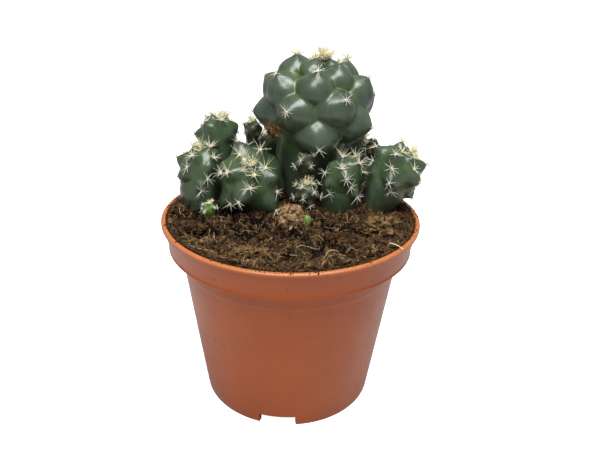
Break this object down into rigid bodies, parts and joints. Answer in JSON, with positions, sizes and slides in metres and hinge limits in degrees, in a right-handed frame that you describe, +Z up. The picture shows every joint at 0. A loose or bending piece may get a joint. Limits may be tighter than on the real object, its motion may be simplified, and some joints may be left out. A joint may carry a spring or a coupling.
{
  "type": "potted round cactus",
  "caption": "Round clustering cactus with knobbly tubercles and spine stars, growing in soil in a tapered plastic nursery pot with a banded rim and a notched foot.",
  "frame": {"origin": "centre of the pot's foot, on the surface that it stands on", "axes": "+Z up along the pot's axis, -Y is the front, +X is to the right seen from the front"},
  "size_m": [0.1221, 0.1198, 0.1643],
  "materials": {
    "pot_plastic": "satin clay-orange thermoformed plastic",
    "soil": "dark crumbly peat with fibres",
    "green_skin": "waxy blue-green skin, yellow-green in the creases",
    "young_skin": "waxy bright green young skin",
    "old_skin": "dull olive-brown old skin",
    "dry_matter": "dry tan fibrous matter",
    "dark_litter": "dark dried plant matter",
    "straw": "dry pale stalk",
    "perlite": "chalky white grain",
    "spine": "cream spines on woolly pads"
  },
  "bodies": {
    "root": {"back_left_head": "green_skin", "back_left_head_spines_05": "spine", "back_left_head_spines_08": "spine", "back_middle_head": "green_skin", "back_middle_head_spines_08": "spine", "back_right_head": "green_skin", "back_right_head_spines_08": "spine", "clod_front": "dry_matter", "clod_left": "dark_litter", "clod_right": "dry_matter", "clod_right_front": "dark_litter", "corky_stub": "dry_matter", "dried_flower": "dark_litter", "dry_bud": "dry_matter", "front_left_head": "green_skin", "front_left_head_spines_01": "spine", "front_left_head_spines_04": "spine", "front_left_head_spines_05": "spine", "front_left_head_spines_06": "spine", "front_left_head_spines_08": "spine", "front_right_head": "green_skin", "front_right_head_spines_04": "spine", "front_right_head_spines_12": "spine", "leaf_scrap": "dark_litter", "left_head": "green_skin", "left_head_spines_03": "spine", "left_head_spines_10": "spine", "left_head_spines_13": "spine", "little_back_head": "old_skin", "little_back_head_spines_01": "spine", "lower_bud": "old_skin", "lower_bud_spines_01": "spine", "main_head": "green_skin", "main_head_spines_01": "spine", "main_head_spines_04": "spine", "main_head_spines_06": "spine", "main_head_spines_08": "spine", "main_head_spines_10": "spine", "main_head_spines_11": "spine", "main_head_spines_13": "spine", "main_head_spines_15": "spine", "main_head_spines_16": "spine", "main_head_spines_17": "spine", "main_head_spines_18": "spine", "main_head_spines_19": "spine", "perlite_grain": "perlite", "pot": "pot_plastic", "potting_soil": "soil", "right_head": "green_skin", "right_head_spines_01": "spine", "right_head_spines_06": "spine", "right_head_spines_11": "spine", "straw": "straw", "upper_bud": "old_skin", "young_bud": "young_skin"}
  },
  "joints": []
}
